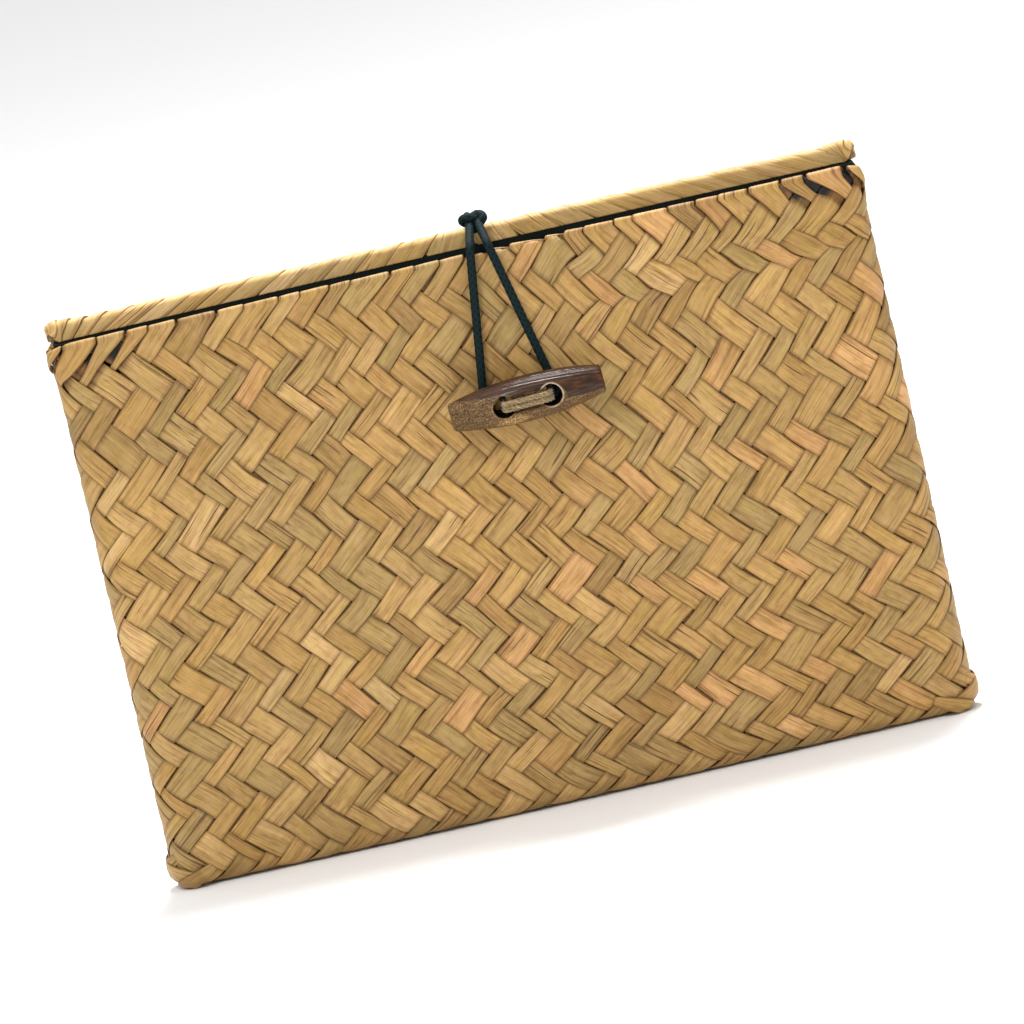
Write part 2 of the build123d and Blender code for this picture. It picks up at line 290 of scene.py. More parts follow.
TOP_ACROSS = np.array([-0.5, -0.46, -0.40, 0.0, 0.40, 0.46, 0.5])
TOP_DROP = np.array([0.75, 0.30, 0.08, 0.0, 0.08, 0.30, 0.75])
ACROSS = np.concatenate([TOP_ACROSS, [0.44, -0.44]])
STRIP_TOP = np.concatenate([0.5 - TOP_DROP, [-0.5, -0.5]]) * STRIP_THICK
MIDDLE = 3  # index of the strip's middle line in ACROSS
FINE_COLUMNS = np.array([0, 1, 2, 2.25, 2.5, 2.75, 3, 3.25, 3.5, 3.75, 4, 5, 6, 7, 8])
FINE_MIDDLE = 6  # index of the middle line in FINE_COLUMNS


def finer(values, axis=1):
    """Adds columns inside a strip's shoulders, for strips that bend round the rim at a slant."""
    low = np.floor(FINE_COLUMNS).astype(int)
    high = np.minimum(low + 1, len(ACROSS) - 1)
    share = (FINE_COLUMNS - low).reshape([-1 if i == axis else 1 for i in range(values.ndim)])
    return np.take(values, low, axis) * (1 - share) + np.take(values, high, axis) * share


def strip_grid(family, number, start, stop, per_rank=STEPS_PER_RANK):
    """Counts (a, b), over-under wave and rank over one strip: rows along it, columns across it."""
    steps = int((stop - start) * per_rank) + 1
    rank = np.linspace(start, stop, steps)[:, None]
    own = random.Random(f"wander {family} {number}")
    phases = [own.uniform(0, 6.3) for _ in range(4)]
    wander = 0.022 * (np.sin(rank * 0.61 + phases[0]) + np.sin(rank * 1.43 + phases[1]))
    width = 0.985 + 0.022 * (np.sin(rank * 0.83 + phases[2]) + np.sin(rank * 1.9 + phases[3]))
    inside = smooth((rank - start) / 2) * smooth((stop - rank) / 2)
    across = number + 0.5 + wander * inside + ACROSS[None, :] * width
    along = np.broadcast_to(rank, across.shape)
    if family == "rising":
        a, b = number + 0.5 + along, across
        lift = wave(along + 0.5)
    else:
        a, b = across, number + 0.5 - along
        lift = wave(along - 1.5)
    return a, b, lift, along


def zone_of(u, z):
    """Which piece of the plait a place belongs to."""
    u = (u + 0.5) % 1.0 - 0.5
    flat, rounding, _ = level(np.array(max(z, TUCK_Z)))
    run = abs(u) * (4 * flat + 2 * math.pi * rounding)
    if z < TUCK_Z or run > flat:
        return "root_left" if u < 0 else "root_right"
    return "front_left" if u < TURN_U else "front_right"


def cut_into_zones(family, along, u, z):
    """Zone of every step of a strip. It only changes where the strip lies hidden under another."""
    hidden = 2.5 if family == "rising" else 0.5
    number = np.floor((along[:, MIDDLE] - hidden) / 4)
    zones = {}
    for k in np.unique(number):
        rows = np.where(number == k)[0]
        middle = rows[np.argmin(np.abs(along[rows, MIDDLE] - hidden - 4 * k - 2))]
        zones[k] = zone_of(u[middle, MIDDLE], z[middle, MIDDLE])
    return [zones[k] for k in number[:-1]]


def add_runs(bundles, rings, layers, zones, flip):
    """Cuts one strip where it passes from one piece of the plait to the next."""
    start = 0
    for i in range(1, len(zones) + 1):
        if i == len(zones) or zones[i] != zones[start]:
            cut = slice(start, i + 1)
            part = {k: v[cut] for k, v in layers.items()}
            bundles.setdefault(zones[start], Bundle()).add(rings[cut], part, flip)
            start = i


def strip_layers(key, hidden, along, lift, u):
    """What the straw material reads: fibre coordinates, tones, and painted shade at strip edges and where a strip
    dives under another.
    """
    own = random.Random(f"strip {key}")
    value, warm, streak = own.random(), own.random(), own.random()
    pitch = 6.8 * MM
    fibre = np.zeros(along.shape + (3,))
    fibre[..., 0] = along * pitch + value * 3.1
    fibre[..., 1] = ACROSS[None, :] * pitch
    fibre[..., 2] = warm * 2.7
    tone = np.zeros(along.shape + (3,))
    for k in np.unique(np.floor((along[:, MIDDLE] - hidden) / 4)):
        rows = np.floor((along[:, MIDDLE] - hidden) / 4) == k
        float_own = random.Random(f"float {key} {int(k)}")
        tone[rows, :, 0] = 0.45 * value + 0.55 * float_own.random()
        tone[rows, :, 1] = 0.6 * warm + 0.4 * float_own.random()
        tone[rows, :, 2] = 0.4 * streak + 0.6 * float_own.random()
    if key.startswith("falling"):
        side = (u + 0.5) % 1.0 - 0.5
        tone[..., 1] += 0.13 * smooth((side + 0.02) / 0.1)
    # painted shade: the strip's long edges and the places where it dives under another strip are marked to be painted
    # darker
    edge = smooth((np.abs(ACROSS[None, :]) - 0.40) / 0.09)
    tuck_shade = smooth((0.22 - lift) / 0.4)
    return {"fibre": fibre, "tone": tone, "crease_shade": np.maximum(edge * 0.7, tuck_shade)}


FOLD_START = {"rising": 30.5, "falling": 32.5}  # the ranks where the folded strips come out from hiding
TURN_U = 0.0129  # girth share where the cord hangs, and where the fold changes its lean


def rim_share(family, number):
    """Girth share where a strip reaches the front rim."""
    rank = 33.6
    half = number + 0.5
    a, b = (half + rank, half) if family == "rising" else (half, half - rank)
    u, _ = place(np.array([a]), np.array([b]))
    return float((u[0] + 0.5) % 1.0 - 0.5)


def folds_over(family, number):
    share = rim_share(family, number)
    if family == "rising":
        return -0.262 < share < TURN_U
    return TURN_U < share < 0.262


def weave(bundles):
    """All the long strips of the walls and the base."""
    top = RIM_Z - 0.7 * MM
    for family in ("rising", "falling"):
        hidden = 2.5 if family == "rising" else 0.5
        for number in range(STRIPS_ROUND):
            stop = FOLD_START[family] if folds_over(family, number) else TOP_RANK
            a, b, lift, along = strip_grid(family, number, LOW_RANK, stop)
            u, z = place(a, b)
            z = np.clip(z, BASE_Z, top)
            under_fold = (np.abs((u + 0.5) % 1.0 - 0.5) < 0.26) & (along > FOLD_START["falling"] + 0.9)
            lift = np.where(under_fold, -1.0, np.where(z >= top, np.minimum(lift, 0.0), lift))
            hollow_and_shade = corner_hollow_and_shade(u, z)
            height = lift * WEAVE_LIFT * (1 - 0.6 * hollow_and_shade) + STRIP_TOP[None, :] - PLAIT_DEPTH - 0.5 * MM * hollow_and_shade
            rings = skin(u, z, height)
            layers = strip_layers(f"{family} {number}", hidden, along, lift, u)
            # painted shade: the gaps below the folded rim's corners are marked to be painted near black
            layers["crease_shade"] = np.maximum(layers["crease_shade"], hollow_and_shade * 1.3)
            add_runs(bundles, rings, layers, cut_into_zones(family, along, u, z), family == "falling")


def corner_hollow_and_shade(u, z):
    """1 in the gaps left below the folded rim near the front's two upper corners: the strips there sink a little, and
    their colour gets painted shade, near black.
    """
    side = np.abs((u + 0.5) % 1.0 - 0.5)
    near = smooth((side - 0.19) / 0.012) * smooth((0.243 - side) / 0.008)
    return near * smooth((z - RIM_Z + 8.3 * MM) / (1.0 * MM))


def fold_row(bundles):
    """Strips folded over the front rim: rising ones left of the cord, falling ones right of it."""
    over = 5.0 * MM + math.pi * (WALL / 2 + 0.25 * MM)  # run over the rim and down inside
    for family, start in FOLD_START.items():
        for number in range(STRIPS_ROUND):
            if not folds_over(family, number):
                continue
            own = random.Random(f"fold {family} {number}")
            top_rank = start + 4.0 + 4.0 * over / ROW_GAP + 1.6
            a, b, lift, along = strip_grid(family, number, start, top_rank, 2 * STEPS_PER_RANK)
            lift = np.where(along > start + 2.0, 1.0, lift)
            layers = strip_layers(f"{family} {number}", start, along, lift, place(a, b)[0])
            layers["tone"][..., 0] -= 0.12
            layers = {k: finer(v) for k, v in layers.items()}
            lift, along = finer(lift), finer(along)
            u, z = place(finer(a), finer(b))
            # past the rim the strips run straight over it
            past = np.maximum(z - RIM_Z + 2.0 * MM, 0.0)
            to_right = 1.0 if family == "rising" else -1.0
            u = u - to_right * 0.95 * past / GIRTH
            z = np.minimum(z, RIM_Z + over)
            side = np.abs((u + 0.5) % 1.0 - 0.5)
            corner = smooth((side - 0.185) / 0.02) * smooth((start + 3.2 - along) / 2.2)
            u = u + (u[:, [FINE_MIDDLE]] - u) * 0.55 * corner
            z = z + (z[:, [FINE_MIDDLE]] - z) * 0.55 * corner - own.uniform(-0.35, 0.35) * MM * smooth((RIM_Z - z) / (7 * MM))
            shingle = to_right * finer(ACROSS[None, :]) * 0.25 * MM
            height = lift * (WEAVE_LIFT + 0.12 * MM) + shingle * smooth(lift)
            height = height + finer(STRIP_TOP[None, :]) - PLAIT_DEPTH
            height = height + 0.45 * MM * corner * smooth(lift + 0.4)
            rings = skin(u, z, height)
            flip = family == "falling"
            bundles.setdefault(zone_of(rim_share(family, number), RIM_Z), Bundle()).add(rings, layers, flip)


def tucked_ends(bundles):
    """At each bottom corner the last strips are folded round and tucked in, as a small ear."""
    for hand in (-1, 1):
        zone = "root_left" if hand < 0 else "root_right"
        edge = 0.25 * hand
        paths = [
            ((edge - 0.030 * hand, 1.0), (edge + 0.018 * hand, 10.5), 7.0),
            ((edge - 0.013 * hand, 11.0), (edge + 0.022 * hand, -1.5), 6.2),
            ((edge - 0.036 * hand, 6.0), (edge + 0.004 * hand, -4.5), 6.0),
        ]
        for number, ((u0, z0), (u1, z1), wide) in enumerate(paths):
            t = np.linspace(0, 1, 26)[:, None]
            along_u = (u1 - u0) * GIRTH
            along_z = (z1 - z0) * MM
            length = math.hypot(along_u, along_z)
            side_u, side_z = -along_z / length, along_u / length
            narrow = wide * MM * (0.55 + 0.45 * np.sin(math.pi * t))
            u = u0 + (u1 - u0) * t + ACROSS[None, :] * narrow * side_u / GIRTH
            z = (z0 + (z1 - z0) * t) * MM + ACROSS[None, :] * narrow * side_z
            arch = np.sin(math.pi * t) ** 0.6
            height = (-1.0 + 1.9 * arch + 0.25 * number) * MM + STRIP_TOP[None, :] * 1.3
            rings = skin(u, z, height)
            rings[..., 2] = np.maximum(rings[..., 2], 0.0)
            layers = strip_layers(f"ear {hand} {number}", 0.5, t * 3 + ACROSS[None, :] * 0, arch + ACROSS * 0, u)
            bundles[zone].add(rings, layers, hand > 0)


# ---------------------------------------------------------------- materials
def node_material(name):
    material = bpy.data.materials.new(name)
    material.use_nodes = True
    tree = material.node_tree
    return material, tree, tree.nodes["Principled BSDF"]


def node(tree, kind, **values):
    """A new node with its settings and unlinked inputs filled in by name."""
    made = tree.nodes.new(kind)
    for key, value in values.items():
        if key in made.inputs:
            made.inputs[key].default_value = value
        else:
            setattr(made, key, value)
    return made


def maths(tree, operation, first, second=0.0, clamp=False):
    made = tree.nodes.new("ShaderNodeMath")
    made.operation = operation
    made.use_clamp = clamp
    for socket, value in zip(made.inputs, (first, second)):
        if isinstance(value, (int, float)):
            socket.default_value = value
        else:
            tree.links.new(value, socket)
    return made.outputs[0]


def mixed_colour(tree, share, first, second, blend="MIX"):
    made = tree.nodes.new("ShaderNodeMix")
    made.data_type = "RGBA"
    made.blend_type = blend
    for socket, value in ((made.inputs[0], share), (made.inputs[6], first), (made.inputs[7], second)):
        if isinstance(value, bpy.types.NodeSocket):
            tree.links.new(value, socket)
        elif isinstance(value, (int, float)):
            socket.default_value = value
        else:
            socket.default_value = (*value, 1.0)
    return made.outputs[2]


def ramp(tree, source, stops):
    made = tree.nodes.new("ShaderNodeValToRGB")
    elements = made.color_ramp.elements
    while len(elements) < len(stops):
        elements.new(0.5)
    for element, (position, colour) in zip(elements, stops):
        element.position = position
        element.color = (*colour, 1.0)
    tree.links.new(source, made.inputs[0])
    return made.outputs[0]


def srgb(red, green, blue):
    """A colour given as it is seen, in 0 to 255, as linear values."""
    values = []
    for part in (red, green, blue):
        share = part / 255
        values.append(share / 12.92 if share <= 0.04045 else ((share + 0.055) / 1.055) ** 2.4)
    return tuple(values)


def blend_step(tree, value, threshold, spread):
    """0 below the threshold and 1 above it, over a short spread; a negative spread turns it round."""
    made = node(tree, "ShaderNodeMapRange", interpolation_type="SMOOTHSTEP")
    tree.links.new(value, made.inputs["Value"])
    made.inputs["From Min"].default_value = threshold - abs(spread)
    made.inputs["From Max"].default_value = threshold + abs(spread)
    made.inputs["To Min"].default_value = 0.0 if spread > 0 else 1.0
    made.inputs["To Max"].default_value = 1.0 if spread > 0 else 0.0
    return made.outputs[0]


def stretched_noise(tree, vector, scale_along, scale_across, detail=4.0, offset=0.0):
    """Noise drawn out along the fibres. vector holds metres along and across."""
    mapping = node(tree, "ShaderNodeMapping")
    mapping.inputs["Scale"].default_value = (scale_along, scale_across, 1.0)
    mapping.inputs["Location"].default_value = (offset, offset * 0.7, 0.0)
    tree.links.new(vector, mapping.inputs["Vector"])
    noise = node(tree, "ShaderNodeTexNoise", Scale=1.0, Detail=detail, Roughness=0.6)
    tree.links.new(mapping.outputs[0], noise.inputs["Vector"])
    return noise.outputs["Fac"]


def noise_3d(tree, vector, scale, detail):
    mapping = node(tree, "ShaderNodeMapping")
    mapping.inputs["Scale"].default_value = scale
    tree.links.new(vector, mapping.inputs["Vector"])
    noise = node(tree, "ShaderNodeTexNoise", Scale=1.0, Detail=detail, Roughness=0.65)
    tree.links.new(mapping.outputs[0], noise.inputs["Vector"])
    return noise.outputs["Fac"]


def straw_material(name, tint, contrast):
    """Dry split leaf: each strip has its own tone, with fibres, reddish streaks and splits; creases get painted
    shade, near black in the deepest gaps.
    """
    material, tree, shader = node_material(name)
    fibre = node(tree, "ShaderNodeAttribute", attribute_name="fibre").outputs["Vector"]
    tone = node(tree, "ShaderNodeAttribute", attribute_name="tone").outputs["Vector"]
    crease_shade = node(tree, "ShaderNodeAttribute", attribute_name="crease_shade").outputs["Fac"]
    parts = node(tree, "ShaderNodeSeparateXYZ")
    tree.links.new(tone, parts.inputs[0])
    value, warm, streak = parts.outputs
    body = ramp(
        tree,
        value,
        [
            (0.0, srgb(154, 120, 72)),
            (0.3, srgb(172, 138, 87)),
            (0.55, srgb(181, 147, 94)),
            (0.8, srgb(195, 158, 106)),
            (1.0, srgb(214, 178, 128)),
        ],
    )
    olive = mixed_colour(tree, 0.45, body, srgb(156, 134, 88))
    golden = mixed_colour(tree, 0.4, body, srgb(186, 144, 82))
    orange = mixed_colour(tree, 0.45, body, srgb(218, 162, 112))
    colour = mixed_colour(tree, blend_step(tree, warm, 0.36, -0.1), body, olive)
    colour = mixed_colour(tree, blend_step(tree, warm, 0.58, 0.06), colour, golden)
    colour = mixed_colour(tree, blend_step(tree, warm, 0.87, 0.05), colour, orange)
    patch = stretched_noise(tree, fibre, 150.0, 230.0, 3.0, 2.0)
    broad = stretched_noise(tree, fibre, 60.0, 420.0, 3.0)
    fine = stretched_noise(tree, fibre, 45.0, 1250.0, 4.0, 4.0)
    hair = stretched_noise(tree, fibre, 60.0, 3400.0, 3.0, 9.0)
    split = stretched_noise(tree, fibre, 26.0, 900.0, 2.0, 15.0)
    green = ramp(tree, patch, [(0.42, (1.0, 1.0, 1.0)), (0.68, (0.93, 1.0, 0.74))])
    colour = mixed_colour(tree, 0.8, colour, green, "MULTIPLY")
    mottle = stretched_noise(tree, fibre, 330.0, 520.0, 5.0, 23.0)
    stain = ramp(tree, mottle, [(0.3, (0.86, 0.78, 0.72)), (0.48, (1.0, 1.0, 1.0)), (0.7, (1.10, 1.11, 1.16))])
    colour = mixed_colour(tree, contrast, colour, stain, "MULTIPLY")
    shade = ramp(tree, broad, [(0.3, (0.76, 0.73, 0.68)), (0.5, (1.0, 1.0, 1.0)), (0.72, (1.13, 1.12, 1.12))])
    colour = mixed_colour(tree, contrast, colour, shade, "MULTIPLY")
    lines = ramp(tree, fine, [(0.34, (0.68, 0.58, 0.46)), (0.45, (1.0, 1.0, 1.0)), (0.66, (1.10, 1.10, 1.10))])
    colour = mixed_colour(tree, contrast, colour, lines, "MULTIPLY")
    hairs = ramp(tree, hair, [(0.36, (0.78, 0.70, 0.60)), (0.5, (1.0, 1.0, 1.0)), (0.68, (1.12, 1.12, 1.12))])
    colour = mixed_colour(tree, 0.8, colour, hairs, "MULTIPLY")
    gap = ramp(tree, split, [(0.315, (1.0, 1.0, 1.0)), (0.35, (0.0, 0.0, 0.0))])
    often = blend_step(tree, streak, 0.42, 0.12)
    gap = maths(tree, "MULTIPLY", gap, often)
    colour = mixed_colour(tree, maths(tree, "MULTIPLY", gap, 0.85), colour, srgb(88, 54, 30))
    # painted shade: the colour is darkened at the strips' edges, tucks and the band's gaps, where shade falls
    dark = mixed_colour(tree, 1.0, colour, (0.36, 0.27, 0.19), "MULTIPLY")
    colour = mixed_colour(tree, maths(tree, "MULTIPLY", crease_shade, 0.9, True), colour, dark)
    # painted shadow: the colour turns near black in the gaps below the folded rim's corners
    colour = mixed_colour(tree, blend_step(tree, crease_shade, 1.1, 0.1), colour, srgb(13, 10, 7))
    colour = mixed_colour(tree, 1.0, colour, tint, "MULTIPLY")
    tree.links.new(colour, shader.inputs["Base Color"])
    rough = maths(tree, "ADD", maths(tree, "MULTIPLY", fine, 0.35), 0.34)
    tree.links.new(rough, shader.inputs["Roughness"])
    shader.inputs["Specular IOR Level"].default_value = 0.32
    height = maths(tree, "ADD", maths(tree, "MULTIPLY", fine, 1.0), maths(tree, "MULTIPLY", hair, 0.35))
    height = maths(tree, "SUBTRACT", height, maths(tree, "MULTIPLY", gap, 0.8))
    bump = node(tree, "ShaderNodeBump", Strength=0.7, Distance=0.28 * MM)
    tree.links.new(height, bump.inputs["Height"])
    tree.links.new(bump.outputs[0], shader.inputs["Normal"])
    return material


def cotton_material():
    """Black cotton with a fine plain weave; the threads' crossings are painted lighter as a painted highlight."""
    material, tree, shader = node_material("black_cotton")
    place_node = node(tree, "ShaderNodeTexCoord").outputs["Object"]
    waves = []
    for axis in ("X", "Z"):
        threads = node(tree, "ShaderNodeTexWave", Scale=900.0, Distortion=1.5, bands_direction=axis)
        threads.inputs["Detail Scale"].default_value = 2.0
        tree.links.new(place_node, threads.inputs["Vector"])
        waves.append(threads.outputs["Fac"])
    grid = maths(tree, "MULTIPLY", waves[0], waves[1])
    cloud = node(tree, "ShaderNodeTexNoise", Scale=60.0, Detail=4.0)
    tree.links.new(place_node, cloud.inputs["Vector"])
    colour = ramp(tree, cloud.outputs["Fac"], [(0.3, (0.0012, 0.0026, 0.0024)), (0.8, (0.0045, 0.0085, 0.0078))])
    # painted highlight: the weave's raised crossings are painted lighter
    painted_crossing_highlight = mixed_colour(tree, maths(tree, "MULTIPLY", grid, 0.35), colour, (0.010, 0.017, 0.016))
    tree.links.new(painted_crossing_highlight, shader.inputs["Base Color"])
    shader.inputs["Roughness"].default_value = 0.9
    shader.inputs["Specular IOR Level"].default_value = 0.15
    bump = node(tree, "ShaderNodeBump", Strength=0.5, Distance=0.12 * MM)
    tree.links.new(grid, bump.inputs["Height"])
    tree.links.new(bump.outputs[0], shader.inputs["Normal"])
    return material


def elastic_material():
    """Braided elastic: near black with a green-blue cast; each braided yarn's ridge is painted lighter as a painted
    highlight.
    """
    material, tree, shader = node_material("black_elastic")
    fibre = node(tree, "ShaderNodeAttribute", attribute_name="fibre").outputs["Vector"]
    ridge = node(tree, "ShaderNodeAttribute", attribute_name="ridge").outputs["Fac"]
    speck = stretched_noise(tree, fibre, 900.0, 2500.0, 3.0)
    # painted highlight: the colour is lighter on the braided yarns' ridges
    colour = ramp(tree, ridge, [(0.2, (0.0008, 0.0022, 0.0026)), (0.9, (0.0035, 0.0125, 0.0135))])
    lighter = mixed_colour(tree, maths(tree, "MULTIPLY", speck, 0.15), colour, (0.012, 0.030, 0.030))
    tree.links.new(lighter, shader.inputs["Base Color"])
    shader.inputs["Roughness"].default_value = 0.7
    shader.inputs["Specular IOR Level"].default_value = 0.12
    bump = node(tree, "ShaderNodeBump", Strength=0.4, Distance=0.1 * MM)
    tree.links.new(speck, bump.inputs["Height"])
    tree.links.new(bump.outputs[0], shader.inputs["Normal"])
    return material


def twine_material():
    material, tree, shader = node_material("natural_twine")
    fibre = node(tree, "ShaderNodeAttribute", attribute_name="fibre").outputs["Vector"]
    speck = stretched_noise(tree, fibre, 500.0, 4200.0, 4.0)
    colour = ramp(
        tree,
        speck,
        [(0.38, srgb(36, 25, 15)), (0.47, srgb(96, 74, 44)), (0.56, srgb(148, 120, 76)), (0.66, srgb(226, 200, 146))],
    )
    tree.links.new(colour, shader.inputs["Base Color"])
    shader.inputs["Roughness"].default_value = 0.85
    shader.inputs["Sheen Weight"].default_value = 0.3
    bump = node(tree, "ShaderNodeBump", Strength=0.8, Distance=0.15 * MM)
    tree.links.new(speck, bump.inputs["Height"])
    tree.links.new(bump.outputs[0], shader.inputs["Normal"])
    return material


def wood_material():
    """Dark wood: varnished along the top, worn to a grey-brown speckle below, with gold in the wear."""
    material, tree, shader = node_material("varnished_wood")
    local = node(tree, "ShaderNodeAttribute", attribute_name="local").outputs["Vector"]
    wear = node(tree, "ShaderNodeAttribute", attribute_name="wear").outputs["Vector"]
    marks = node(tree, "ShaderNodeSeparateXYZ")
    tree.links.new(wear, marks.inputs[0])
    bare, gold, ring = marks.outputs
    # painted shade: the holes' inner walls are painted near black for the shade inside the holes
    inside = node(tree, "ShaderNodeAttribute", attribute_name="inside").outputs["Fac"]
    fine = noise_3d(tree, local, (70.0, 1300.0, 1300.0), 6.0)
    speckle = noise_3d(tree, local, (2000.0, 2500.0, 2500.0), 6.0)
    cloud = noise_3d(tree, local, (140.0, 260.0, 260.0), 4.0)
    varnish = ramp(tree, fine, [(0.3, srgb(22, 13, 7)), (0.55, srgb(60, 36, 20)), (0.8, srgb(112, 62, 30))])
    worn = ramp(
        tree,
        speckle,
        [(0.34, srgb(46, 32, 20)), (0.46, srgb(86, 66, 43)), (0.57, srgb(112, 88, 60)), (0.70, srgb(172, 144, 106))],
    )
    grain = ramp(tree, fine, [(0.35, (0.72, 0.68, 0.62)), (0.6, (1.08, 1.05, 1.02))])
    worn = mixed_colour(tree, 1.0, worn, grain, "MULTIPLY")
    rubbed = maths(tree, "ADD", bare, maths(tree, "MULTIPLY", maths(tree, "SUBTRACT", cloud, 0.5), 1.5))
    rubbed = blend_step(tree, rubbed, 0.5, 0.14)
    colour = mixed_colour(tree, rubbed, varnish, worn)
    golden = ramp(tree, speckle, [(0.42, srgb(70, 48, 28)), (0.52, srgb(150, 116, 72)), (0.62, srgb(222, 190, 138))])
    gilt = blend_step(tree, maths(tree, "ADD", gold, maths(tree, "MULTIPLY", cloud, 0.6)), 0.75, 0.25)
    colour = mixed_colour(tree, maths(tree, "MULTIPLY", gilt, 0.8), colour, golden)
    light = maths(tree, "MULTIPLY", ring, blend_step(tree, cloud, 0.42, 0.1))
    colour = mixed_colour(tree, light, colour, srgb(196, 176, 146))
    colour = mixed_colour(tree, inside, colour, srgb(14, 9, 6))
    tree.links.new(colour, shader.inputs["Base Color"])
    rough = mixed_colour(tree, rubbed, (0.4, 0.4, 0.4), (0.65, 0.65, 0.65))
    tree.links.new(rough, shader.inputs["Roughness"])
    shader.inputs["Specular IOR Level"].default_value = 0.1
    coat = mixed_colour(tree, rubbed, (0.24, 0.24, 0.24), (0.02, 0.02, 0.02))
    tree.links.new(coat, shader.inputs["Coat Weight"])
    shader.inputs["Coat Roughness"].default_value = 0.08
    bump = node(tree, "ShaderNodeBump", Strength=0.5, Distance=0.2 * MM)
    tree.links.new(maths(tree, "ADD", fine, speckle), bump.inputs["Height"])
    tree.links.new(bump.outputs[0], shader.inputs["Normal"])
    return material


# ---------------------------------------------------------------- cords
def rounded_path(corners, radius, step):
    """Points along straight runs joined by arcs."""
    corners = [Vector(c) for c in corners]
    points = [corners[0]]
    for before, corner, after in zip(corners, corners[1:], corners[2:]):
        back, ahead = (before - corner).normalized(), (after - corner).normalized()
        half = back.angle(ahead) / 2
        reach = radius / math.tan(half)
        centre = corner + (back + ahead).normalized() * (radius / math.sin(half))
        first, last = corner + back * reach, corner + ahead * reach
        turn = math.pi - 2 * half
        count = max(2, int(radius * turn / step))
        for i in range(count + 1):
            arm = (first - centre).slerp(last - centre, i / count).normalized()
            points.append(centre + arm * radius)
    points.append(corners[-1])
    return even_path(np.array([tuple(p) for p in points]), step)


def even_path(points, step, closed=False):
    """The same path with evenly spaced points."""
    if closed:
        points = np.concatenate([points, points[:1]])
    gaps = np.linalg.norm(np.diff(points, axis=0), axis=1)
    distance = np.concatenate([[0.0], np.cumsum(gaps)])
    count = max(2, int(distance[-1] / step))
    at = np.linspace(0.0, distance[-1], count + 1)
    if closed:
        at = at[:-1]
    return np.stack([np.interp(at, distance, points[:, i]) for i in range(3)], axis=1)


def frames_along(points, closed=False):
    """Two crosswise directions at each point, carried along without twisting."""
    if closed:
        tangents = unit(np.roll(points, -1, axis=0) - np.roll(points, 1, axis=0))
    else:
        tangents = unit(np.gradient(points, axis=0))
    seed = np.array([0.0, 1.0, 0.0]) if abs(tangents[0][1]) < 0.9 else np.array([1.0, 0.0, 0.0])
    side = unit(np.cross(tangents[0], seed))
    sides = []
    for tangent in tangents:
        side = unit(side - tangent * np.dot(side, tangent))
        sides.append(side)
    sides = np.array(sides)
    return tangents, sides, np.cross(tangents, sides)


def tube_rings(points, radius, angles, closed=False):
    """Rings of a tube; radius is (n, m) or one number."""
    _, sides, ups = frames_along(points, closed)
    circle = np.cos(angles)[None, :, None] * sides[:, None, :] + np.sin(angles)[None, :, None] * ups[:, None, :]
    return points[:, None, :] + circle * np.broadcast_to(radius, circle.shape[:2])[..., None]


def braided_cord(name, paths, radius, material):
    """Cords whose braided yarns stand out as crossing ridges."""
    bundle = Bundle()
    sides = 40
    angles = np.linspace(0, 2 * math.pi, sides, endpoint=False)
    for path in paths:
        gaps = np.linalg.norm(np.diff(path, axis=0), axis=1)
        distance = np.concatenate([[0.0], np.cumsum(gaps)])[:, None]
        lay = 2 * math.pi / (2.3 * MM)
        left = np.cos(4 * angles[None, :] + distance * lay)
        right = np.cos(4 * angles[None, :] - distance * lay)
        ridge = np.maximum(left, right) * 0.5 + 0.5
        size = radius * (0.93 + 0.07 * ridge)
        rings = tube_rings(path, size, angles)
        fibre = np.zeros(rings.shape)
        fibre[..., 0] = distance
        fibre[..., 1] = angles[None, :] * radius
        bundle.add(rings, {"fibre": fibre, "ridge": ridge})
    return bundle.piece(name, material)


def loop_paths():
    """The two strands from the knot, joined behind the toggle; the corners are the CAD cord's own."""
    knot = (knot_low + knot_high) / 2
    r = CORD_RADIUS
    left, right = loop_low.x + r, loop_high.x - r
    behind, bottom = loop_low.y + r, loop_low.z + r
    crest_y, crest_z = shell(0.0, RIM_Z)[1] - 2.25 * MM, RIM_Z + 1.8 * MM
    corners = [
        (knot.x - 1.3 * MM, knot.y - 1.0 * MM, knot.z - 1.2 * MM),
        (knot.x - 2.9 * MM, crest_y, crest_z),
        (left, behind, bottom),
        (right, behind, bottom),
        (knot.x + 2.7 * MM, crest_y, crest_z),
        (knot.x + 1.3 * MM, knot.y - 1.0 * MM, knot.z - 1.2 * MM),
    ]
    return [rounded_path(corners, 2.6 * MM, 0.25 * MM)]


def knot_path(low, high, cord_radius):
    """A small overhand knot, drawn tight: a trefoil flattened to the CAD knot's box."""
    centre = np.array((low + high) / 2)
    room = np.array((high - low) / 2) - cord_radius
    t = np.linspace(0, 2 * math.pi, 240, endpoint=False)
    x = (np.sin(t) + 2 * np.sin(2 * t)) / 2.76
    z = (np.cos(t) - 2 * np.cos(2 * t)) / 3.0
    y = -np.sin(3 * t)
    shape = np.stack([x * room[0] * 1.1, y * room[1] * 0.9, z * room[2] * 1.9 - 0.8 * MM], axis=1)
    path = even_path(centre + shape, 0.25 * MM, closed=True)
    return np.concatenate([path, path[:2]])


def tail_paths():
    """The loop's two tails, over the band and down its back."""
    r = CORD_RADIUS
    knot = (knot_low + knot_high) / 2
    top, back, bottom = tail_high.z - r, tail_high.y - r, tail_low.z + r
    paths = []
    for x in (tail_low.x + r, tail_high.x - r):
        corners = [(x, knot.y + 0.5 * MM, top), (x, back, top), (x, back, bottom), (x, tail_low.y, bottom)]
        paths.append(rounded_path(corners, 2.6 * MM, 0.25 * MM))
    return paths


